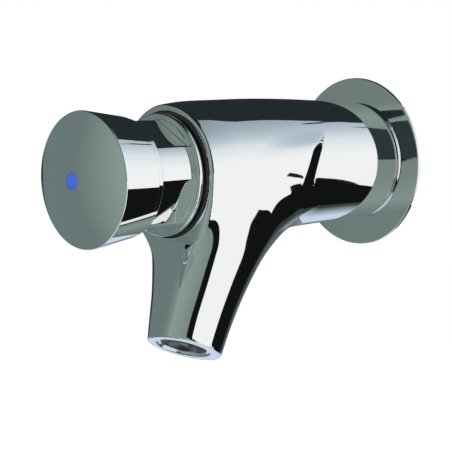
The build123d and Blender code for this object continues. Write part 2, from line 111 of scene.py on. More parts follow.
socketKinds = {int: "Int", float: "Float", tuple: "Color"}


def groupTree(name, kind, inputs, outputs):
    # an input is given by its first value, or by its kind where it has none
    tree = bpy.data.node_groups.new(name, kind)
    for label, value in inputs.items():
        bare = isinstance(value, str)
        socketType = "NodeSocket" + (value if bare else socketKinds[type(value)])
        socket = tree.interface.new_socket(name=label, in_out="INPUT", socket_type=socketType)
        if not bare:
            socket.default_value = value
    for label, socketKind in outputs.items():
        tree.interface.new_socket(name=label, in_out="OUTPUT", socket_type="NodeSocket" + socketKind)
    return tree, addNode(tree, "NodeGroupInput").outputs


def closeShapeTree(tree, result, surface):
    real = addNode(tree, "GeometryNodeRealizeInstances", {0: result})
    coat = addNode(tree, "GeometryNodeSetMaterial", {"Geometry": real.outputs[0], "Material": surface})
    addNode(tree, "NodeGroupOutput", {0: coat.outputs[0]})
    return tree


def layOut(tree):
    # each node stands one column to the right of the nodes that feed it
    column = {node: 0 for node in tree.nodes}
    for _ in tree.nodes:
        for link in tree.links:
            column[link.to_node] = max(column[link.to_node], column[link.from_node] + 1)
    filled = {}
    for node, place in column.items():
        filled[place] = filled.get(place, 0) + 1
        node.location = (place * 200, filled[place] * -180)


# Shader groups: each is built once and placed in the materials with its own values

def effectGroup(name, roughness, spread, scaleName, scale, **colours):
    inputs = {"Coordinates": "Vector", **colours, "Roughness": roughness, "Spread": spread, scaleName: scale}
    outputs = {"Colour": "Color"} if colours else {}
    return groupTree(name, "ShaderNodeTree", inputs, {**outputs, "Roughness": "Float", "Height": "Float"})


def closeEffect(tree, given, pattern, height, **more):
    extra = mathNode(tree, "MULTIPLY", pattern, given["Spread"])
    rough = mathNode(tree, "ADD", extra, given["Roughness"])
    addNode(tree, "NodeGroupOutput", {**more, "Roughness": rough, "Height": height})
    return tree


def noise(tree, vector, scale, detail):
    return addNode(tree, "ShaderNodeTexNoise", {"Vector": vector, "Scale": scale, "Detail": detail}).outputs["Fac"]


def buildHandling():
    # Very light wipe marks and dried drops, for polished metal
    tree, given = effectGroup("wipeMarks", 0.05, 0.03, "Mark Scale", 60.0)
    wide = noise(tree, given["Coordinates"], given["Mark Scale"], 4.0)
    fine = noise(tree, given["Coordinates"], 900.0, 2.0)
    mixed = mathNode(tree, "MULTIPLY", rangeNode(tree, wide, 0.45, 0.75, "SMOOTHSTEP"), fine)
    return closeEffect(tree, given, mixed, fine)


def buildTurning():
    # Fine rings left by a lathe about the barrel's axis
    tree, given = effectGroup("latheRings", 0.3, 0.15, "Ring Scale", 4000.0)
    split = addNode(tree, "ShaderNodeSeparateXYZ", {0: given["Coordinates"]}).outputs
    across = mathNode(tree, "MULTIPLY", split["X"], split["X"])
    above = mathNode(tree, "MULTIPLY", split["Z"], split["Z"])
    radius = mathNode(tree, "SQRT", mathNode(tree, "ADD", across, above))
    place = addNode(tree, "ShaderNodeCombineXYZ", {"X": radius, "Y": split["Y"]})
    rings = noise(tree, place.outputs[0], given["Ring Scale"], 3.0)
    return closeEffect(tree, given, rings, rings)


def buildGrain():
    # Moulded plastic or rubber: fine grain and a slow change of tone
    colours = {"Colour": (0.5, 0.5, 0.5, 1), "Pale Colour": (0.6, 0.6, 0.6, 1)}
    tree, given = effectGroup("mouldedGrain", 0.4, 0.1, "Grain Scale", 2500.0, **colours)
    grain = noise(tree, given["Coordinates"], given["Grain Scale"], 3.0)
    slow = noise(tree, given["Coordinates"], 90.0, 4.0)
    blend = {"Factor": rangeNode(tree, slow, 0.35, 0.7), "A": given["Colour"], "B": given["Pale Colour"]}
    tone = addNode(tree, "ShaderNodeMix", blend, data_type="RGBA")
    return closeEffect(tree, given, grain, grain, Colour=tone.outputs["Result"])


handlingGroup = buildHandling()
turningGroup = buildTurning()
grainGroup = buildGrain()


def startMaterial(name, group, values, bumpDistance):
    material = bpy.data.materials.new(name)
    material.use_nodes = True
    tree = material.node_tree
    shader = tree.nodes["Principled BSDF"]
    coordinates = addNode(tree, "ShaderNodeTexCoord").outputs["Object"]
    effect = addNode(tree, "ShaderNodeGroup", {"Coordinates": coordinates, **values}, node_tree=group)
    tree.links.new(effect.outputs["Roughness"], shader.inputs["Roughness"])
    if bumpDistance:
        relief = {"Strength": 1.0, "Distance": bumpDistance, "Height": effect.outputs["Height"]}
        bump = addNode(tree, "ShaderNodeBump", relief)
        tree.links.new(bump.outputs["Normal"], shader.inputs["Normal"])
    return material, shader, effect


def metal(name, colour, group, roughness, spread, scale, bumpDistance):
    scaleName = "Mark Scale" if group == handlingGroup else "Ring Scale"
    values = {"Roughness": roughness, "Spread": spread, scaleName: scale}
    material, shader, effect = startMaterial(name, group, values, bumpDistance)
    shader.inputs["Base Color"].default_value = (*colour, 1)
    shader.inputs["Metallic"].default_value = 1.0
    return material


def moulded(name, colour, pale, roughness, spread, scale, bumpDistance):
    values = {"Roughness": roughness, "Spread": spread, "Grain Scale": scale}
    values.update({"Colour": (*colour, 1), "Pale Colour": (*pale, 1)})
    material, shader, effect = startMaterial(name, grainGroup, values, bumpDistance)
    material.node_tree.links.new(effect.outputs["Colour"], shader.inputs["Base Color"])
    shader.inputs["IOR"].default_value = 1.5
    return material


chrome = metal("chrome", (0.87, 0.885, 0.885), handlingGroup, 0.035, 0.02, 45.0, 0)
satinChrome = metal("satinChrome", (0.86, 0.875, 0.875), turningGroup, 0.13, 0.08, 2500.0, 0.000002)
brass = metal("turnedBrass", (0.70, 0.49, 0.23), turningGroup, 0.2, 0.25, 3500.0, 0.00001)
castBrass = metal("machinedBrass", (0.60, 0.43, 0.21), turningGroup, 0.3, 0.2, 2200.0, 0.00002)
stainless = metal("stainless", (0.60, 0.595, 0.58), turningGroup, 0.18, 0.2, 3000.0, 0.000008)
whitePlastic = moulded("whiteAcetal", (0.80, 0.79, 0.75), (0.86, 0.85, 0.82), 0.34, 0.14, 2500.0, 0.00001)
greyPlastic = moulded("greyAcetal", (0.075, 0.08, 0.085), (0.11, 0.115, 0.12), 0.36, 0.16, 2600.0, 0.00001)
bluePlastic = moulded("blueIndicator", (0.040, 0.135, 0.74), (0.048, 0.15, 0.77), 0.24, 0.03, 5000.0, 0.0000004)
blackRubber = moulded("blackRubber", (0.018, 0.018, 0.019), (0.035, 0.035, 0.035), 0.5, 0.2, 3000.0, 0.00001)

finishes = {
    "chrome": chrome,
    "brass": brass,
    "stainless": stainless,
    "white_plastic": whitePlastic,
    "grey_plastic": greyPlastic,
    "blue_plastic": bluePlastic,
    "black_rubber": blackRubber,
}
nodeSlots = {part["node"]: part["material_slot"] for part in frame["record"]["subparts"]}
for nodeName, nodeObject in nodes.items():
    nodeObject.data.materials.clear()
    nodeObject.data.materials.append(finishes[nodeSlots[nodeName]])
print("finishes: done,", len(nodeSlots), "pieces")


# Turned pieces: a Geometry Nodes tree sweeps a profile round the barrel's axis

def buildTurnedTree():
    inputs = {
        "Profile": "Geometry", "Segments": 192, "Flats": 4.0, "Flat Distance": 1.0, "Flat Turn": 0.0,
        "Corner Radius": 1.0, "Edge Softness": 0.0, "Thread Pitch": 0.001, "Thread Depth": 0.0, "Surface": "Material",
    }
    tree, given = groupTree("turnedPiece", "GeometryNodeTree", inputs, {"Geometry": "Geometry"})

    maths = partial(mathNode, tree)
    profile = given["Profile"]
    size = addNode(tree, "GeometryNodeAttributeDomainSize", {0: profile}, component="MESH")
    rows = size.outputs["Point Count"]
    columns = maths("ADD", given["Segments"], 1.0)
    grid = addNode(tree, "GeometryNodeMeshGrid", {"Vertices X": columns, "Vertices Y": rows})
    index = addNode(tree, "GeometryNodeInputIndex").outputs[0]
    column = maths("FLOOR", maths("DIVIDE", maths("ADD", index, 0.5), rows))
    row = maths("FLOORED_MODULO", index, rows)
    turn = maths("DIVIDE", column, given["Segments"])
    angle = maths("MULTIPLY", turn, math.tau)

    def sampled(dataType, value):
        inputs = {"Geometry": profile, "Value": value, "Index": row}
        return addNode(tree, "GeometryNodeSampleIndex", inputs, data_type=dataType, domain="POINT").outputs[0]

    def namedShare(name):
        node = addNode(tree, "GeometryNodeInputNamedAttribute", {"Name": name}, data_type="FLOAT")
        return sampled("FLOAT", node.outputs["Attribute"])

    position = addNode(tree, "GeometryNodeInputPosition").outputs[0]
    place = addNode(tree, "ShaderNodeSeparateXYZ", {0: sampled("FLOAT_VECTOR", position)}).outputs
    radius, station = place["X"], place["Y"]

    # flats: the radius is held to a straight side, a fixed distance from the axis
    step = maths("DIVIDE", math.tau, given["Flats"])
    half = maths("MULTIPLY", step, 0.5)
    offset = maths("ADD", maths("SUBTRACT", angle, given["Flat Turn"]), half)
    inStep = maths("SUBTRACT", maths("FLOORED_MODULO", offset, step), half)
    distance = maths("ADD", maths("SUBTRACT", radius, given["Corner Radius"]), given["Flat Distance"])
    side = maths("DIVIDE", distance, maths("COSINE", inStep))
    held = maths("SMOOTH_MIN", radius, side, given["Edge Softness"])
    change = maths("MULTIPLY", maths("SUBTRACT", held, radius), namedShare("flatShare"))
    flatted = maths("ADD", radius, change)

    # thread: a rounded wave that climbs one pitch for each turn
    climb = maths("ADD", maths("DIVIDE", station, given["Thread Pitch"]), turn)
    wave = maths("MULTIPLY", maths("PINGPONG", climb, 0.5), 2.0)
    form = rangeNode(tree, wave, 0.1, 0.9, "SMOOTHSTEP")
    cut = maths("MULTIPLY", maths("MULTIPLY", form, given["Thread Depth"]), namedShare("threadShare"))
    final = maths("SUBTRACT", flatted, cut)

    across = maths("MULTIPLY", final, maths("COSINE", angle))
    above = maths("MULTIPLY", final, maths("SINE", angle))
    point = addNode(tree, "ShaderNodeCombineXYZ", {"X": across, "Y": station, "Z": above})
    swept = {"Geometry": grid.outputs["Mesh"], "Position": point.outputs[0]}
    shape = addNode(tree, "GeometryNodeSetPosition", swept)
    weld = addNode(tree, "GeometryNodeMergeByDistance", {"Geometry": shape.outputs[0], "Distance": 0.000002})
    return closeShapeTree(tree, weld.outputs[0], given["Surface"])


turnedTree = buildTurnedTree()


def socketName(tree, label):
    for item in tree.interface.items_tree:
        if item.item_type == "SOCKET" and item.in_out == "INPUT" and item.name == label:
            return item.identifier


def evaluated(piece, modifier):
    # the piece's mesh with the modifier applied, which is then taken off
    bpy.context.view_layer.update()
    graph = bpy.context.evaluated_depsgraph_get()
    result = bpy.data.meshes.new_from_object(piece.evaluated_get(graph))
    piece.modifiers.remove(modifier)
    return result


def bakeTree(name, mesh, tree, values, sharpDegrees=32.0):
    # runs the tree on the mesh and keeps the result as a plain mesh at the origin
    host = addPiece(name + "Host", mesh)
    modifier = host.modifiers.new("shape", "NODES")
    modifier.node_group = tree
    for label, value in values.items():
        modifier[socketName(tree, label)] = value
    result = evaluated(host, modifier)
    bpy.data.objects.remove(host)
    result.name = name
    faceOutwards(result)
    result.shade_smooth()
    result.set_sharp_from_angle(angle=math.radians(sharpDegrees))
    return addPiece(name, result)


def addPiece(name, mesh):
    piece = bpy.data.objects.new(name, mesh)
    scene.collection.objects.link(piece)
    return piece


def meshPoints(mesh):
    points = np.zeros(len(mesh.vertices) * 3)
    mesh.vertices.foreach_get("co", points)
    return points.reshape(-1, 3)


def faceOutwards(mesh):
    # a closed mesh whose signed volume is negative is inside out
    mesh.calc_loop_triangles()
    corners = np.zeros(len(mesh.loop_triangles) * 3, int)
    mesh.loop_triangles.foreach_get("vertices", corners)
    points = meshPoints(mesh)
    a, b, c = (points[corners.reshape(-1, 3)[:, i]] for i in range(3))
    if np.einsum("ij,ij->i", a, np.cross(b, c)).sum() < 0:
        mesh.flip_normals()


supportShare, supportRoom = 0.12, 1.25  # how far past an arc its support point lies, and the room it needs


def roundedProfile(corners, steps=8, closed=True):
    # corners are (station, radius, rounding) in mm; each rounding becomes an arc with a support point each side
    found = []
    count = len(corners)
    for i, corner in enumerate(corners):
        here = np.array(corner[:2], float)
        rounding = corner[2] if len(corner) > 2 else 0.0
        marks = (tuple(corner[3:]) + (0.0, 0.0))[:2]
        if rounding <= 0 or (not closed and i in (0, count - 1)):
            found.append((*here, *marks))
            continue
        before = np.array(corners[i - 1][:2], float) - here
        after = np.array(corners[(i + 1) % count][:2], float) - here
        roomBefore, roomAfter = np.linalg.norm(before), np.linalg.norm(after)
        before, after = before / roomBefore, after / roomAfter
        opening = math.acos(max(-1.0, min(1.0, float(before @ after))))
        cut = rounding / math.tan(opening / 2)
        start, end = here + before * cut, here + after * cut
        centre = here + (before + after) / np.linalg.norm(before + after) * (rounding / math.sin(opening / 2))
        first, last = start - centre, end - centre
        sweep = math.pi - opening
        if roomBefore > cut * supportRoom:
            found.append((*(start + before * rounding * supportShare), *marks))
        for k in range(steps + 1):
            t = k / steps
            arm = (math.sin((1 - t) * sweep) * first + math.sin(t * sweep) * last) / math.sin(sweep)
            found.append((*(centre + arm), *marks))
        if roomAfter > cut * supportRoom:
            found.append((*(end + after * rounding * supportShare), *marks))
    if closed:
        found.append(found[0])
    return found


def profileMesh(name, rows):
    # a row is (station, radius, flat share, thread share)
    rows = np.array(rows, float)
    mesh = bpy.data.meshes.new(name + "Profile")
    points = np.zeros((len(rows), 3))
    points[:, 0] = rows[:, 1] * mm
    points[:, 1] = -rows[:, 0] * mm
    mesh.from_pydata(points.tolist(), [], [])
    for column, label in ((2, "flatShare"), (3, "threadShare")):
        attribute = mesh.attributes.new(label, "FLOAT", "POINT")
        attribute.data.foreach_set("value", rows[:, column].astype(np.float32))
    return mesh


def turnPiece(name, corners, surface, segments=192, closed=True, sharp=32.0, **extra):
    rows = roundedProfile(corners, closed=closed)
    values = {"Segments": segments, "Surface": surface, **extra}
    return bakeTree(name, profileMesh(name, rows), turnedTree, values, sharp)


def settle(piece, body, slotName, *replaced):
    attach(piece, body)
    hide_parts(*replaced)


def arcRows(centre, radius, start, end, count):
    # points of a dome's arc about a centre on the axis, from one distance off the axis to another
    return [(centre + math.sqrt(radius * radius - r * r), r, 0.0) for r in np.linspace(start, end, count)]


# Wall plate, with a rounded front edge

wallPlate = {"radius": 32.0, "thick": 1.2, "edge": 0.45, "hole": 10.578}
w = wallPlate
plateCorners = [
    (0, w["hole"], 0.1), (w["thick"], w["hole"], 0.15), (w["thick"], w["radius"], w["edge"]), (0, w["radius"], 0.12),
]
piece = turnPiece("wallPlate", plateCorners, chrome, segments=320)
settle(piece, "housing", "chrome", "wall_flange")
print("wall plate: done")


# Button: a domed cap with a tapering skirt and a stepped lip at its rear

button = {
    "front": 133.85, "radius": 23.45, "domeRadius": 62.07, "domeCentre": 76.38, "wall": 1.2, "edge": 0.55,
    "shoulder": (118.0, 21.0), "lip": (115.7, 20.1), "bore": 19.45, "dotHole": 2.95, "skirtWall": 1.0,
}
b = button
shoulder, shoulderRadius = b["shoulder"]
lip, lipRadius = b["lip"]
piece = turnPiece(
    "buttonCap",
    [
        (b["domeCentre"] + math.sqrt(b["domeRadius"] ** 2 - b["dotHole"] ** 2), b["dotHole"], 0.0),
        *arcRows(b["domeCentre"], b["domeRadius"], b["dotHole"] + 0.1, b["radius"] - 0.9, 40),
        (b["front"], b["radius"], b["edge"]),
        (shoulder, shoulderRadius, 0.12), (shoulder - 0.3, lipRadius + 0.5, 0.1), (lip, lipRadius + 0.25, 0.28),
        (lip, b["bore"], 0.1), (shoulder, shoulderRadius - b["skirtWall"], 0.0),
        *arcRows(b["domeCentre"], b["domeRadius"] - b["wall"], b["radius"] - b["skirtWall"], b["dotHole"], 16),
    ],
    chrome, segments=320,
)
piece.data.materials.append(satinChrome)
for face in piece.data.polygons:  # the pressed face is finer brushed than the skirt
    if -face.center.y / mm > b["front"] + 0.2 and face.normal.y < -0.5:
        face.material_index = 1
settle(piece, "plunger", "chrome", "button")
print("button: done")


# Indicator dot, whose face follows the dome

dot = {"radius": 2.9, "depth": 2.4, "edge": 0.18}
d = dot
dotFront = b["domeCentre"] + math.sqrt(b["domeRadius"] ** 2 - d["radius"] ** 2)
dotCorners = [
    *arcRows(b["domeCentre"], b["domeRadius"], 0.0, d["radius"] - 0.5, 10), (dotFront, d["radius"], d["edge"]),
    (dotFront - d["depth"], d["radius"], 0.1), (dotFront - d["depth"], 0.0, 0.0),
]
piece = turnPiece("indicatorDot", dotCorners, bluePlastic, segments=96, closed=False)
settle(piece, "plunger", "blue_plastic", "indicator_dot")
print("indicator dot: done")


# Bonnet: thread, neck, round-edged flange, then a boss with four flats

bonnet = {
    "thread": (86.1, 94.9, 20.9), "threadRun": 0.4, "neck": 20.2, "flange": (98.6, 100.85, 21.5, 0.85),
    "foot": (0.3, 0.35), "boss": 19.15, "bossFront": 121.0, "bossEdge": 0.5, "bore": 14.5, "web": (97.0, 107.0),
    "gland": (99.0, 6.0), "clip": (105.3, 106.4, 6.8), "shaft": 3.3, "skirt": 17.25,
    "flat": 17.0, "turn": 51.75, "flatEdge": 0.35, "pitch": 1.5, "threadDepth": 0.55,
}
n = bonnet
threadRear, threadFront, threadRadius = n["thread"]
rearFlange, frontFlange, flangeRadius, flangeEdge = n["flange"]
bossRear, boss, bossFront = frontFlange + n["foot"][0], n["boss"], n["bossFront"]
webRear, webFront = n["web"]
glandRear, gland = n["gland"]
clipRear, clipFront, clip = n["clip"]
threadStations = np.linspace(threadRear + n["threadRun"], threadFront - n["threadRun"], 84)
flatRows = [  # rows whose fourth value is 1 follow the flats
    (bossRear, boss + 0.12), (bossRear + 0.12, boss), (bossRear + 0.3, boss), (bossRear + 8.7, boss),
    (bossFront - 0.7, boss), (bossFront - 0.5, boss), (bossFront, boss - n["bossEdge"]), (bossFront, boss - 0.7),
]
bonnetCorners = [
    (threadRear, n["skirt"], 0.15), (threadRear, threadRadius - 0.5, 0.0),
    *((s, threadRadius, 0.0, 0.0, 1.0) for s in threadStations),
    (threadFront, n["neck"] + 0.1, 0.0), (threadFront, n["neck"], 0.0),
    (rearFlange, n["neck"], 0.15), (rearFlange, flangeRadius, flangeEdge), (frontFlange, flangeRadius, flangeEdge),
    (frontFlange, boss + n["foot"][1], 0.05), (bossRear, boss + n["foot"][1], 0.1), (bossRear, boss + 0.01, 0.0),
    *((s, r, 0.0, 1.0) for s, r in flatRows),
    (bossFront, n["bore"], 0.3), (webFront, n["bore"], 0.3), (webFront, gland, 0.1),
    (clipFront, gland, 0.0), (clipFront, clip, 0.0), (clipRear, clip, 0.0), (clipRear, gland, 0.0),
    (glandRear, gland, 0.0), (glandRear, n["shaft"], 0.1), (webRear, n["shaft"], 0.1), (webRear, n["skirt"], 0.3),
]
bonnetShape = {
    "Flats": 4.0, "Flat Distance": n["flat"] * mm, "Flat Turn": math.radians(n["turn"]), "Corner Radius": boss * mm,
    "Edge Softness": n["flatEdge"] * mm, "Thread Pitch": n["pitch"] * mm, "Thread Depth": n["threadDepth"] * mm,
}
piece = turnPiece("bonnetHead", bonnetCorners, chrome, segments=400, sharp=28.0, **bonnetShape)
settle(piece, "housing", "chrome", "bonnet")
print("bonnet: done,", len(piece.data.polygons), "faces")


# Inlet tail: sealed head, relief behind the plate, then the G1/2 thread

tail = {
    "thread": 10.46, "pitch": 1.814, "depth": 1.16, "length": 18.0, "head": (1.3, 13.95, 11.95), "relief": 10.178,
    "bore": 7.5, "neck": 5.5, "shoulder": 3.0, "groove": (8.0, 9.9, 10.1), "lead": 0.9, "runOut": 1.6, "runIn": 1.2,
}
t = tail
tailEnd, threadStart = -t["length"], -t["length"] + t["lead"]
headRear, headFront, headRadius = t["head"]
grooveRear, grooveFront, grooveRadius = t["groove"]
shankRows = []
for s in np.linspace(threadStart, -t["lead"], 150):
    share = min(1.0, (s - threadStart) / t["runIn"] + 0.3, (-s - t["lead"]) / t["runOut"])
    shankRows.append((s, t["thread"], 0.0, 0.0, max(0.0, share)))
tailCorners = [
    (headFront, t["neck"], 0.2), (t["shoulder"], t["neck"], 0.0), (t["shoulder"], t["bore"], 0.0),
    (tailEnd, t["bore"], 0.3), (tailEnd, t["thread"] - t["lead"], 0.0), *shankRows,
    (0.0, t["thread"], 0.0), (0.05, t["relief"], 0.0), (headRear, t["relief"], 0.0), (headRear, headRadius, 0.3),
    (grooveRear, headRadius, 0.1), (grooveRear, grooveRadius, 0.1), (grooveFront, grooveRadius, 0.1),
    (grooveFront, headRadius, 0.1), (headFront, headRadius, 0.4),
]
tailShape = {"Thread Pitch": t["pitch"] * mm, "Thread Depth": t["depth"] * mm}
piece = turnPiece("inletTail", tailCorners, brass, sharp=35.0, **tailShape)
settle(piece, "housing", "brass", "inlet_tail")
print("inlet tail: done,", len(piece.data.polygons), "faces")


# Body: the barrel and the spout as one smooth skin, worked out as a distance in mm and then meshed. A pair, such as
# follow or creaseLow, is where a change starts and how far it takes.

skin = {
    "stations": [0, 20, 40, 60, 78, 90, 97.15],  # along the barrel, from the wall
    "radius": [22.0, 22.9, 23.8, 24.55, 24.8, 24.72, 24.1],
    "rise": [0.3, 0.9, 1.15, 0.95, 0.65, 0.45, 0.35],
    "heights": [-78, -66, -58, -50, -42, -34, -26, -18, -8, -3, 0.8, 12],  # down the spout
    "halfWidth": [11.1, 12.2, 13.32, 14.6, 16.2, 18.16, 20.44, 23.2, 24.22, 24.6, 24.72, 24.72],
    "front": [-116, -112.9, -110.6, -107.9, -104.8, -101.9, -99.0, -96.9, -95.9, -95.9, -96, -96],
    "back": [-92, -85.5, -80.94, -76.06, -70.46, -63.9, -56.7, -50.0, -45.5, -46, -46.5, -47],
    "frontFullness": [2.0, 2.0, 2.03, 2.1, 2.2, 2.4, 2.8, 3.4, 3.75, 3.75, 3.75, 3.75],  # 2 is an ellipse
    "backFullness": [2.0, 2.0, 2.0, 2.05, 2.1, 2.1, 2.05, 1.85, 2.6, 3.1, 3.5, 3.75],
    "follow": (-30.0, 20.0), "followShare": 0.9985, "fullRadius": 24.72, "spoutEase": 0.93,
    "blendBack": 13.1, "blendFront": 7.8, "blendChange": (62.0, 28.0),
    "blendSide": 19.2, "blendTop": -0.53, "blendRun": 8.25, "blendLeast": 0.05,
    "rim": 97.15, "rimRound": 1.2, "rimTilt": 0.38, "rimTiltBelow": -22.4, "rear": 1.2, "rearRound": 1.6,
    "outlet": (0.0, -98.4, -60.7), "leanDegrees": 25.4, "outletRound": 0.9, "outletBelow": -28.0,
    "creaseLine": (45.2, -0.534, -0.017), "creaseTip": 10.8, "creaseRise": 7.5, "creaseHeight": 1.05,
    "creaseThin": 1.2, "creaseWidth": 4.6, "creaseSpread": 8.0, "creaseFade": 28.0,
    "creaseLow": (-24.0, 18.0), "creaseSoft": 0.07,
    "low": (-28.0, -119.0, -73.0), "high": (28.0, 1.0, 29.0), "cell": 0.7,
}


def smoothCurve(knots, values):
    # natural cubic through the knots, held at its ends
    knots, values = np.asarray(knots, float), np.asarray(values, float)
    count, gaps = len(knots), np.diff(knots)
    system, right = np.eye(count), np.zeros(count)
    for i in range(1, count - 1):
        system[i, i - 1:i + 2] = gaps[i - 1], 2 * (gaps[i - 1] + gaps[i]), gaps[i]
        right[i] = 6 * ((values[i + 1] - values[i]) / gaps[i] - (values[i] - values[i - 1]) / gaps[i - 1])
    bend = np.linalg.solve(system, right)

    def at(x):
        x = np.clip(x, knots[0], knots[-1])
        i = np.clip(np.searchsorted(knots, x) - 1, 0, count - 2)
        u, v, gap = knots[i + 1] - x, x - knots[i], gaps[i]
        return ((bend[i] * u**3 + bend[i + 1] * v**3) / (6 * gap)
                + (values[i] / gap - bend[i] * gap / 6) * u + (values[i + 1] / gap - bend[i + 1] * gap / 6) * v)

    return at


barrelRadius, barrelRise = (smoothCurve(skin["stations"], skin[k]) for k in ("radius", "rise"))
spoutHalf, spoutFront, spoutBack, frontFullness, backFullness = (
    smoothCurve(skin["heights"], skin[k]) for k in ("halfWidth", "front", "back", "frontFullness", "backFullness"))


def smoothStep(x):
    x = np.clip(x, 0, 1)
    return x * x * (3 - 2 * x)


def stepFrom(x, edge):
    # an edge is where the step starts and the distance that it takes
    return smoothStep((x - edge[0]) / edge[1])


def barrelDistance(p):
    # the front part stands proud in front of a slanting crease, which starts at a tip high on the side
    station, height = -p[..., 1], p[..., 2]
    c0, c1, c2 = skin["creaseLine"]
    below = skin["creaseTip"] - height
    width = skin["creaseThin"] + skin["creaseWidth"] * smoothStep(below / skin["creaseSpread"])
    ahead = (station - c0 - c1 * height - c2 * height * height) / width
    soft = skin["creaseSoft"]
    ramp = soft * (np.logaddexp(0, ahead / soft) - np.logaddexp(0, (ahead - 1) / soft))
    fade = smoothStep(1 - (ahead - 1) * width / skin["creaseFade"])
    tall = smoothStep((below + 0.5) / skin["creaseRise"]) * stepFrom(height, skin["creaseLow"])
    radius = barrelRadius(station) + skin["creaseHeight"] * ramp * fade * tall
    return np.sqrt(p[..., 0] ** 2 + (height - barrelRise(station)) ** 2) - radius


def spoutDistance(p):
    station, height = -p[..., 1], p[..., 2]
    front, back = spoutFront(height), spoutBack(height)
    # near its top the spout is as wide as the barrel there
    widest = barrelRadius(station) * skin["followShare"] / skin["fullRadius"]
    width = spoutHalf(height) * (1 + (widest - 1) * stepFrom(height, skin["follow"]))
    depth, middle = (back - front) / 2, (front + back) / 2
    power = np.where(p[..., 1] > middle, backFullness(height), frontFullness(height))
    x = np.maximum(np.abs(p[..., 0]) / width, 1e-6)
    y = np.maximum(np.abs(p[..., 1] - middle) / depth, 1e-6)
    reach = (x**power + y**power) ** (1 / power)
    slope = np.sqrt(((x / reach) ** (power - 1) / width) ** 2 + ((y / reach) ** (power - 1) / depth) ** 2)
    return np.maximum((reach - 1) / slope * skin["spoutEase"], height - barrelRise(station))


def roundedCut(a, b, radius):
    corner = np.sqrt(np.maximum(a + radius, 0) ** 2 + np.maximum(b + radius, 0) ** 2) - radius
    return np.where((a > -radius) & (b > -radius), corner, np.maximum(a, b))


lean = math.radians(skin["leanDegrees"])
outletPoint = np.array(skin["outlet"])
outletDown = np.array([0, -math.sin(lean), -math.cos(lean)])


def sideBySide(p):
    # 1 where the barrel's wall and the spout's run the same way, so that a blend there adds no bulge
    height = p[..., 2]
    above = height - barrelRise(-p[..., 1])
    barrelWay = p[..., 0] / (np.sqrt(p[..., 0] ** 2 + above**2) + 1e-6)
    front, back, width = spoutFront(height), spoutBack(height), spoutHalf(height)
    x, y = p[..., 0] / width**2, (p[..., 1] - (front + back) / 2) / ((back - front) / 2) ** 2
    return barrelWay * x / (np.sqrt(x * x + y * y) + 1e-9)


def bodyDistance(p):
    barrel, spout = barrelDistance(p), spoutDistance(p)
    station, height = -p[..., 1], p[..., 2]
    blend = skin["blendBack"] + (skin["blendFront"] - skin["blendBack"]) * stepFrom(station, skin["blendChange"])
    blend = np.minimum(skin["blendSide"] * np.clip(1 - sideBySide(p), 0, 1), blend)
    blend = np.maximum(blend * smoothStep((skin["blendTop"] - height) / skin["blendRun"]), skin["blendLeast"])
    h = np.clip(0.5 + 0.5 * (spout - barrel) / blend, 0, 1)
    joined = spout * (1 - h) + barrel * h - blend * h * (1 - h)
    rimSide = station - skin["rim"] - skin["rimTilt"] * np.maximum(0, skin["rimTiltBelow"] - height)
    joined = roundedCut(joined, rimSide, skin["rimRound"])
    joined = roundedCut(joined, skin["rear"] - station, skin["rearRound"])
    mouthSide = np.where(height < skin["outletBelow"], (p - outletPoint) @ outletDown, -50.0)
    return roundedCut(joined, mouthSide, skin["outletRound"])


def slopeOf(distance, p, step=0.02):
    slope = np.zeros(p.shape)
    for axis in range(3):
        shift = np.zeros(3)
        shift[axis] = step
        slope[..., axis] = (distance(p + shift) - distance(p - shift)) / (2 * step)
    return slope


def skinMesh(name, distance, low, high, cell):
    # surface nets on a grid, then each point is moved onto the skin
    axes = [np.arange(low[i], high[i] + cell, cell) for i in range(3)]
    inside = distance(np.stack(np.meshgrid(*axes, indexing="ij"), -1)) < 0
    across, along, up = inside.shape
    cells = np.zeros((across - 1, along - 1, up - 1), int)
    for dx, dy, dz in np.ndindex(2, 2, 2):
        cells += inside[dx:across - 1 + dx, dy:along - 1 + dy, dz:up - 1 + dz]
    mixed = (cells > 0) & (cells < 8)
    number = -np.ones(cells.shape, int)
    number[mixed] = np.arange(mixed.sum())
    points = np.argwhere(mixed) * cell + np.array(low) + cell / 2
    for _ in range(6):
        slope = slopeOf(distance, points)
        size = np.maximum((slope**2).sum(-1, keepdims=True), 0.2)
        points = points - np.clip(distance(points)[:, None] * slope / size, -cell, cell)
    quads = []
    for axis in range(3):
        # a quad stands across each grid edge that goes in or out along this axis
        a, b = [i for i in range(3) if i != axis]
        first = [slice(1, -1)] * 3
        first[axis] = slice(0, -1)
        second = list(first)
        second[axis] = slice(1, None)
        start, end = inside[tuple(first)], inside[tuple(second)]
        base = np.argwhere(start != end)
        outward = start[start != end]
        stepA, stepB = np.eye(3, dtype=int)[[a, b]]
        base = base + stepA + stepB
        ring = [base, base - stepA, base - stepA - stepB, base - stepB]
        corners = np.stack([number[tuple(r.T)] for r in ring], 1)
        flip = outward if axis != 1 else ~outward
        corners[~flip] = corners[~flip][:, ::-1]
        quads.append(corners)
    mesh = bpy.data.meshes.new(name)
    mesh.from_pydata((points * mm).tolist(), [], np.concatenate(quads).tolist())
    mesh.update()
    faceOutwards(mesh)
    return mesh


bodyPiece = addPiece("tapBody", skinMesh("tapBody", bodyDistance, skin["low"], skin["high"], skin["cell"]))
print("body skin: done,", len(bodyPiece.data.polygons), "faces")


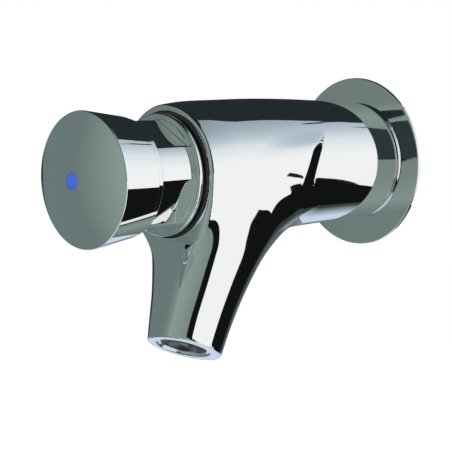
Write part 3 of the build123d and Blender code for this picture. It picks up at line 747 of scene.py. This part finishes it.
# Bores, cut out of the skin one after another
bores = {
    # (station, radius) from the wall, then (depth, radius) from the mouth inwards
    "barrelBore": [
        (-0.5, 12.0), (14.0, 12.0), (14.0, 6.5), (28.0, 6.5), (28.0, 13.0), (46.0, 13.0), (46.0, 14.6), (52.0, 14.6),
        (52.0, 20.0), (86.0, 20.0), (86.0, 21.0), (95.0, 21.0), (95.0, 22.3), (99.0, 22.3),
    ],
    "mouthBore": [(-1.0, 9.65), (9.6, 9.65), (9.6, 8.2), (17.6, 8.2)],
    "wayHeights": [-11, -20, -30, -40, -50], "wayWall": 5.0, "waySideWall": 5.5, "wayLeast": 7.0,
    "segments": 256, "waySegments": 64,
}
mouthFrame = Matrix.Translation(Vector(outletPoint) * mm) @ Matrix.Rotation(-lean, 4, "X")
barrelToMouth = mouthFrame @ Matrix.Rotation(math.radians(-90), 4, "X")


def loftMesh(name, rings):
    # closed tube through rings that have the same number of points
    count = len(rings[0])
    points = [tuple(p) for r in rings for p in r]
    faces = [tuple(range(count)), tuple(reversed(range((len(rings) - 1) * count, len(rings) * count)))]
    for start in range(0, (len(rings) - 1) * count, count):
        for k in range(count):
            after = (k + 1) % count
            faces.append((start + k, start + count + k, start + count + after, start + after))
    mesh = bpy.data.meshes.new(name)
    mesh.from_pydata(points, [], faces)
    mesh.update()
    faceOutwards(mesh)
    return mesh


def axisRings(rows, count=bores["segments"]):
    angles = np.linspace(0, math.tau, count, endpoint=False)
    return [np.stack([r * np.cos(angles), np.full(count, -s), r * np.sin(angles)], -1) * mm for s, r in rows]


def cutOut(piece, mesh):
    tool = addPiece("tool", mesh)
    modifier = piece.modifiers.new("cut", "BOOLEAN")
    modifier.operation = "DIFFERENCE"
    modifier.solver = "EXACT"
    modifier.object = tool
    result = evaluated(piece, modifier)
    bpy.data.objects.remove(tool)
    result.name = piece.data.name
    piece.data = result


cutOut(bodyPiece, loftMesh("barrelBore", axisRings(bores["barrelBore"])))
wayCount = bores["waySegments"]
angles = np.linspace(0, math.tau, wayCount, endpoint=False)
wayRings = []
for height in bores["wayHeights"]:
    front, back = spoutFront(height) + bores["wayWall"], spoutBack(height) - bores["wayWall"]
    width = max(bores["wayLeast"], float(spoutHalf(height)) - bores["waySideWall"])
    along = (front + back) / 2 + (back - front) / 2 * np.sin(angles)
    wayRings.append(np.stack([width * np.cos(angles), along, np.full(wayCount, height)], -1) * mm)
cutOut(bodyPiece, loftMesh("waterWay", wayRings))
mouthTool = loftMesh("mouthBore", axisRings(bores["mouthBore"]))
mouthTool.transform(barrelToMouth)
faceOutwards(mouthTool)
cutOut(bodyPiece, mouthTool)
print("bores: done")

# What counts as the outside, and how far the chrome reaches inside
plating = {"skinGap": 0.06, "facing": 0.6, "rimStation": 84.0, "spoutTop": -28.0, "mouthDepth": 9.0}


def skinNormals(piece, distance, inner):
    # the outside takes its normals from the distance, so that reflections run smoothly
    mesh = piece.data
    points = meshPoints(mesh) / mm
    slope = slopeOf(distance, points)
    slope /= np.maximum(np.linalg.norm(slope, axis=1, keepdims=True), 1e-9)
    away = np.abs(distance(points))
    mesh.shade_smooth()
    mesh.set_sharp_from_angle(angle=math.radians(30))
    normals = np.zeros(len(mesh.loops) * 3)
    mesh.corner_normals.foreach_get("vector", normals)
    normals = normals.reshape(-1, 3)
    corners = np.zeros(len(mesh.loops), int)
    mesh.loops.foreach_get("vertex_index", corners)
    mesh.materials.append(chrome)
    mesh.materials.append(inner)
    for face in mesh.polygons:
        loops = list(face.loop_indices)
        outside = all(away[corners[k]] < plating["skinGap"] for k in loops)
        if outside and float(np.dot(slope[corners[loops[0]]], face.normal)) > plating["facing"]:
            for k in loops:
                normals[k] = slope[corners[k]]
            face.material_index = 0
        else:
            centre = np.array(face.center) / mm
            inSpout = centre[2] < plating["spoutTop"]
            depth = float((outletPoint - centre) @ outletDown)
            plated = depth < plating["mouthDepth"] if inSpout else -centre[1] > plating["rimStation"]
            face.material_index = 0 if plated else 1
    mesh.normals_split_custom_set(normals.tolist())


skinNormals(bodyPiece, bodyDistance, castBrass)
settle(bodyPiece, "housing", "chrome", "body")
print("body: done,", len(bodyPiece.data.polygons), "faces")


# Jet in the mouth: a chromed ring, and in it a moulded star whose vane is made once and repeated round the axis

jet = {
    "recess": 0.5, "length": 8.0, "radius": 9.6, "bore": 8.1, "chamfer": 0.4, "starTop": 1.4, "vanes": 6,
    "star": {"Radius": 8.05, "Length": 5.0, "Rim Width": 0.9, "Hub Radius": 1.8, "Vane Width": 0.9, "Edge": 0.2},
}
j = jet
ringEnd = j["recess"] + j["length"]
ringCorners = [
    (ringEnd, j["bore"], 0.1), (ringEnd, j["radius"], 0.2), (j["recess"], j["radius"], 0.3),
    (j["recess"], j["bore"] + j["chamfer"], 0.12), (j["recess"] + j["chamfer"], j["bore"], 0.12),
]
piece = turnPiece("jetRing", ringCorners, chrome, segments=256)
piece.data.transform(barrelToMouth)
settle(piece, "housing", "chrome", "jet_housing")


def shapeTree(name, lengths, countName, count):
    # a tree that makes its shape from lengths and a count, and takes nothing from its host
    inputs = {"Host": "Geometry", **lengths, countName: count, "Surface": "Material"}
    return groupTree(name, "GeometryNodeTree", inputs, {"Geometry": "Geometry"})


def buildStarTree():
    tree, given = shapeTree("starJet", {k: v * mm for k, v in jet["star"].items()}, "Vanes", jet["vanes"])

    maths = partial(mathNode, tree)

    def section(width):
        # a rounded oblong, as long as the star and as wide as given
        size = {"Width": given["Length"], "Height": width}
        oblong = addNode(tree, "GeometryNodeCurvePrimitiveQuadrilateral", size)
        edge = {"Count": 4, "Curve": oblong.outputs[0], "Radius": given["Edge"]}
        return addNode(tree, "GeometryNodeFilletCurve", edge, mode="POLY").outputs[0]

    def swept(path, profile):
        ends = {"Curve": path, "Profile Curve": profile, "Fill Caps": True}
        return addNode(tree, "GeometryNodeCurveToMesh", ends).outputs[0]

    def circle(radius, count):
        return addNode(tree, "GeometryNodeCurvePrimitiveCircle", {"Resolution": count, "Radius": radius}).outputs[0]

    def line(start, end):
        places = {k: addNode(tree, "ShaderNodeCombineXYZ", v).outputs[0] for k, v in (("Start", start), ("End", end))}
        return addNode(tree, "GeometryNodeCurvePrimitiveLine", places).outputs[0]

    middle = maths("SUBTRACT", given["Radius"], maths("MULTIPLY", given["Rim Width"], 0.5))
    rim = swept(circle(middle, 128), section(given["Rim Width"]))
    under, top = (maths("MULTIPLY", given["Length"], share) for share in (-0.5, 0.5))
    hub = swept(line({"Z": under}, {"Z": top}), circle(given["Hub Radius"], 48))
    vane = swept(line({}, {"X": middle}), section(given["Vane Width"]))
    places = addNode(tree, "GeometryNodeMeshLine", {"Offset": (0, 0, 0), "Count": given["Vanes"]})
    share = maths("DIVIDE", addNode(tree, "GeometryNodeInputIndex").outputs[0], given["Vanes"])
    turn = addNode(tree, "ShaderNodeCombineXYZ", {"Z": maths("MULTIPLY", share, math.tau)})
    repeated = {"Points": places.outputs[0], "Instance": vane, "Rotation": turn.outputs[0]}
    copies = addNode(tree, "GeometryNodeInstanceOnPoints", repeated)
    joined = addNode(tree, "GeometryNodeJoinGeometry")
    for part in (rim, hub, copies.outputs[0]):
        tree.links.new(part, joined.inputs[0])
    return closeShapeTree(tree, joined.outputs[0], given["Surface"])


def emptyHost(name):
    mesh = bpy.data.meshes.new(name + "Host")
    mesh.from_pydata([(0, 0, 0)], [], [])
    return mesh


starShape = {"Vanes": j["vanes"], "Surface": greyPlastic}
piece = bakeTree("jetStar", emptyHost("jetStar"), buildStarTree(), starShape)
starMiddle = j["starTop"] + j["star"]["Length"] / 2
piece.data.transform(mouthFrame @ Matrix.Translation((0, 0, starMiddle * mm)))
settle(piece, "housing", "grey_plastic", "jet_former")
print("jet: done,", len(piece.data.polygons), "faces in the star")


# Return spring, whose turns lie closer together towards both ends

spring = {
    "Turns": 5.0, "Coil Radius": 9.0 * mm, "Wire Radius": 0.8 * mm, "Start": 65.85 * mm, "Length": 17.3 * mm,
    "End Closing": 0.4,
}
springSteps = 360


def buildSpringTree():
    tree, given = shapeTree("coilSpring", spring, "Steps", springSteps)

    maths = partial(mathNode, tree)
    places = addNode(tree, "GeometryNodeMeshLine", {"Count": given["Steps"]})
    index = addNode(tree, "GeometryNodeInputIndex").outputs[0]
    share = maths("DIVIDE", index, maths("SUBTRACT", given["Steps"], 1.0))
    whole = maths("MULTIPLY", share, math.tau)
    angle = maths("MULTIPLY", whole, given["Turns"])
    bend = maths("MULTIPLY", maths("SINE", whole), given["End Closing"])
    along = maths("SUBTRACT", share, maths("DIVIDE", bend, math.tau))
    station = maths("ADD", maths("MULTIPLY", along, given["Length"]), given["Start"])
    across = maths("MULTIPLY", maths("COSINE", angle), given["Coil Radius"])
    above = maths("MULTIPLY", maths("SINE", angle), given["Coil Radius"])
    point = addNode(tree, "ShaderNodeCombineXYZ", {"X": across, "Y": maths("MULTIPLY", station, -1.0), "Z": above})
    wound = {"Geometry": places.outputs[0], "Position": point.outputs[0]}
    coil = addNode(tree, "GeometryNodeSetPosition", wound)
    path = addNode(tree, "GeometryNodeMeshToCurve", {"Mesh": coil.outputs[0]})
    wire = addNode(tree, "GeometryNodeCurvePrimitiveCircle", {"Resolution": 16, "Radius": given["Wire Radius"]})
    ends = {"Curve": path.outputs[0], "Profile Curve": wire.outputs[0], "Fill Caps": True}
    sweep = addNode(tree, "GeometryNodeCurveToMesh", ends)
    return closeShapeTree(tree, sweep.outputs[0], given["Surface"])


springShape = {"Steps": springSteps, "Surface": stainless}
piece = bakeTree("returnSpring", emptyHost("returnSpring"), buildSpringTree(), springShape)
settle(piece, "housing", "stainless", "return_spring")
# the button travels 8 mm of the spring's 19 mm
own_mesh(piece)
print("return spring: done,", len(piece.data.polygons), "faces")


# Camera, at the photograph's viewing angle

view = {
    "azimuth": 47.84, "elevation": -0.755, "roll": -6.427, "distance": 0.612165, "across": -0.006591,
    "above": -0.020673, "focalPixels": 1685.832, "target": (0, -0.060, 0), "framePixels": 452, "sensor": 36.0,
}
azimuth, elevation, roll = (math.radians(view[k]) for k in ("azimuth", "elevation", "roll"))
level = math.cos(elevation)
backward = Vector((math.sin(azimuth) * level, -math.cos(azimuth) * level, math.sin(elevation)))
levelRight = Vector((math.cos(azimuth), math.sin(azimuth), 0))
levelUp = backward.cross(levelRight)
rightward = levelRight * math.cos(roll) + levelUp * math.sin(roll)
upward = -levelRight * math.sin(roll) + levelUp * math.cos(roll)
cameraData = bpy.data.cameras.new("photoView")
cameraData.sensor_width = view["sensor"]
cameraData.lens = view["focalPixels"] / view["framePixels"] * view["sensor"]
cameraData.clip_start, cameraData.clip_end = 0.01, 100
camera = addPiece("photoView", cameraData)
place = Vector(view["target"]) + backward * view["distance"] + rightward * view["across"] + upward * view["above"]
camera.matrix_world = Matrix.Translation(place) @ Matrix((rightward, upward, backward)).transposed().to_4x4()
scene.camera = camera


# Studio: white surroundings, with dark and grey cards that only the metal sees

scene.view_settings.view_transform = "Standard"


def glowSeen(tree, least, most):
    # one strength for what the camera, mirrors and glass see, another for what lights the rest
    rays = addNode(tree, "ShaderNodeLightPath").outputs
    seen = mathNode(tree, "MAXIMUM", rays["Is Camera Ray"], rays["Is Glossy Ray"])
    seen = mathNode(tree, "MAXIMUM", seen, rays["Is Transmission Ray"])
    return addNode(tree, "ShaderNodeMapRange", {"Value": seen, "To Min": least, "To Max": most}).outputs["Result"]


world = bpy.data.worlds.new("studio")
scene.world = world
world.use_nodes = True
tree = world.node_tree
tree.nodes.clear()
whiteRoom = {"Color": (1, 1, 1, 1), "Strength": glowSeen(tree, 0.62, 1.0)}
back = addNode(tree, "ShaderNodeBackground", whiteRoom)
addNode(tree, "ShaderNodeOutputWorld", {"Surface": back.outputs[0]})

shades = {
    "black": (0.006, 0.007, 0.008), "dusk": (0.019, 0.026, 0.029), "slate": (0.16, 0.205, 0.20),
    "frontLeft": (0.155, 0.205, 0.21), "frontMiddle": (0.29, 0.365, 0.33), "frontRight": (0.22, 0.27, 0.25),
    "light1": (1.0, 1.0, 1.0), "light2": (0.80, 0.86, 0.90), "light3": (0.52, 0.60, 0.67),
    "light4": (0.36, 0.44, 0.49), "light5": (0.24, 0.31, 0.35),
    "lowGreen": (0.20, 0.26, 0.24), "rearGrey": (0.05, 0.065, 0.06),
    "rearPale": (0.30, 0.35, 0.36), "blueFloor": (0.62, 0.72, 0.88), "upper": (0.018, 0.024, 0.026),
    # the next tone is a painted dark reflection, for the sheet that darkens the barrel's rear end
    "collar": (0.03, 0.045, 0.048),
}
farCards = {
    # azimuths from the front towards +X (left and right, or all four corners), elevations (low and high), and one
    # shade or a shade at each corner: low left, low right, high right, high left
    "frontLeft": ((-92, -48), (-62, 46), ("frontLeft", "slate", "slate", "frontLeft")),
    "front": ((-48, -4), (-62, 46), ("slate", "frontMiddle", "frontMiddle", "slate")),
    "frontRight": ((-4, 53), (-62, 46), ("frontMiddle", "frontRight", "frontRight", "frontMiddle")),
    "frontTop": ((-92, 69), (46, 62), "upper"),
    "sideTop1": ((69, 168), (5, 22), ("light1", "light1", "light2", "light2")),
    "sideTop2": ((69, 168), (22, 33), ("light2", "light2", "light3", "light3")),
    "sideTop3": ((69, 168), (33, 44), ("light3", "light3", "light4", "light4")),
    "sideTop4": ((69, 168), (44, 62), ("light4", "light4", "light5", "light5")),
    "rearTop": ((168, 268), (4, 62), "dusk"),
    "rearMiddle": ((186, 228), (-18, 4), ("black", "rearPale", "rearGrey", "black")),
    "rearLeft": ((228, 268), (-18, 4), ("rearPale", "rearPale", "rearGrey", "rearGrey")),
    "rearTurn1": ((176, 192), (-62, -18), ("black", "rearGrey", "rearGrey", "black")),
    "rearTurn2": ((192, 212), (-62, -18), ("rearGrey", "blueFloor", "blueFloor", "rearGrey")),
    "rearFloor": ((212, 268), (-62, -18), "blueFloor"),
    # the two crease cards are set dark where the crease's ridge turns its reflection, so that the crease shows dark:
    # part real shape, part painted reflection
    "creaseLow": ((152, 186), (-25, 4), "black"),
    "creaseHigh": ((152, 168, 168, 162), (4, 40), "dusk"),
    "sideLow": ((125, 176), (-62, -46), "lowGreen"),
    "above": ((-92, 268), (62, 90), "upper"),
    "below": ((-92, 268), (-90, -62), "blueFloor"),
}
cardReach, cardStep = 8.0, 4.0  # metres from the tap, and degrees between a card's points
nearCards = {
    # dark sheets close by, which only the metal mirrors, so they paint dark reflections: a shade, then corner points
    # in mm
    "darkSheet": ("black", (591, 461, -171.5), (10, 32, -65), (10, 32, -300), (591, 461, -420)),
    "frontSheet": ("black", (494, -466, 600), (582, -300, 600), (582, -300, -1200), (494, -466, -1200)),
    # the next sheet is a dark card beside the barrel's rear end that only the metal mirrors; it paints a dark band on
    # the barrel's rear end, a painted reflection
    "collarSheet": ("collar", (72, -140, 150), (128, -102, 150), (128, -102, -14), (72, -140, -14)),
}
# a curved black sheet low beside and behind the spout, which only the metal mirrors, so it paints dark reflections on
# the chrome
underSheet = {
    "middle": (0, -60), "radius": 75.0, "azimuths": (117, 172), "tops": (-47, -22), "bottom": -115, "columns": 24,
}


def addCard(name, points, colours, faces):
    mesh = bpy.data.meshes.new(name)
    mesh.from_pydata(points, [], faces)
    tone = mesh.attributes.new("tone", "FLOAT_COLOR", "POINT")
    tone.data.foreach_set("color", np.array([(*c, 1.0) for c in colours], np.float32).ravel())
    material = bpy.data.materials.new(name)
    material.use_nodes = True
    tree = material.node_tree
    tree.nodes.clear()
    paint = addNode(tree, "ShaderNodeAttribute", attribute_name="tone")
    glow = addNode(tree, "ShaderNodeEmission", {"Color": paint.outputs["Color"]})
    addNode(tree, "ShaderNodeOutputMaterial", {"Surface": glow.outputs[0]})
    mesh.materials.append(material)
    card = addPiece(name, mesh)
    card.visible_camera = card.visible_diffuse = card.visible_transmission = card.visible_shadow = False
    card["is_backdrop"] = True


def gridFaces(across, above):
    faces = []
    for i in range(across - 1):
        for k in range(i * above, (i + 1) * above - 1):
            faces.append((k, k + above, k + above + 1, k + 1))
    return faces


for name, (azimuths, elevations, tones) in farCards.items():
    left, right, *upperCorners = azimuths
    upperRight, upperLeft = upperCorners or (right, left)
    low, high = elevations
    places = np.array([(left, low), (right, low), (upperRight, high), (upperLeft, high)], float)
    tones = np.array([shades[k] for k in ([tones] * 4 if isinstance(tones, str) else tones)])
    across, above = (max(2, int(spread / cardStep) + 1) for spread in np.ptp(places, axis=0))
    points, colours = [], []
    for u in np.linspace(0, 1, across):
        for v in np.linspace(0, 1, above):
            shares = np.array([(1 - u) * (1 - v), u * (1 - v), u * v, (1 - u) * v])
            a, e = np.radians(shares @ places)
            level = math.cos(e) * cardReach
            points.append((math.sin(a) * level, -math.cos(a) * level, math.sin(e) * cardReach))
            colours.append(shares @ tones)
    addCard(name + "Card", points, colours, gridFaces(across, above))
for name, (shade, *corners) in nearCards.items():
    addCard(name, [tuple(v * mm for v in c) for c in corners], [shades[shade]] * 4, [(0, 1, 2, 3)])
u = underSheet
points = []
for share in np.linspace(0, 1, u["columns"]):
    turn, top = (first + (last - first) * share for first, last in (u["azimuths"], u["tops"]))
    x = u["middle"][0] + u["radius"] * math.sin(math.radians(turn))
    y = u["middle"][1] - u["radius"] * math.cos(math.radians(turn))
    points += [(x * mm, y * mm, u["bottom"] * mm), (x * mm, y * mm, top * mm)]
addCard("underSheet", points, [shades["black"]] * len(points), gridFaces(u["columns"], 2))

floorPlan = {"height": -0.26, "reach": 30.0, "colour": (0.86, 0.865, 0.87), "roughness": 0.9, "cameraGlow": 0.5}
f = floorPlan
mesh = bpy.data.meshes.new("floor")
floorCorners = [(x * f["reach"], y * f["reach"], f["height"]) for x, y in ((-1, -1), (1, -1), (1, 1), (-1, 1))]
mesh.from_pydata(floorCorners, [], [(0, 1, 2, 3)])
material = bpy.data.materials.new("paleFloor")
material.use_nodes = True
tree = material.node_tree
shader = tree.nodes["Principled BSDF"]
shader.inputs["Base Color"].default_value = (*f["colour"], 1)
shader.inputs["Roughness"].default_value = f["roughness"]
shader.inputs["Emission Color"].default_value = (1, 1, 1, 1)
tree.links.new(glowSeen(tree, 0.0, f["cameraGlow"]), shader.inputs["Emission Strength"])
mesh.materials.append(material)
floor = addPiece("floor", mesh)
floor.visible_glossy = False  # the card below stands for it in the metal
floor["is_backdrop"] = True

lamps = {
    # place, size and power of soft lamps that the metal doesn't mirror
    "keyLamp": ((0.9, -0.9, 0.9), 0.8, 9.0),
    "fillLamp": ((-1.1, -0.7, 0.5), 1.0, 4.0),
}
lampTarget = Vector((0, -0.06, -0.02))
for name, (spot, size, power) in lamps.items():
    lamp = bpy.data.lights.new(name, "AREA")
    lamp.shape, lamp.size, lamp.energy = "DISK", size, power
    holder = addPiece(name, lamp)
    holder.location = spot
    holder.rotation_mode = "QUATERNION"
    holder.rotation_quaternion = (lampTarget - Vector(spot)).to_track_quat("-Z", "Y")
    holder.visible_glossy = False
for tree in [*bpy.data.node_groups, world.node_tree, *(m.node_tree for m in bpy.data.materials if m.use_nodes)]:
    layOut(tree)
print("camera and studio: done")

low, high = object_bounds()
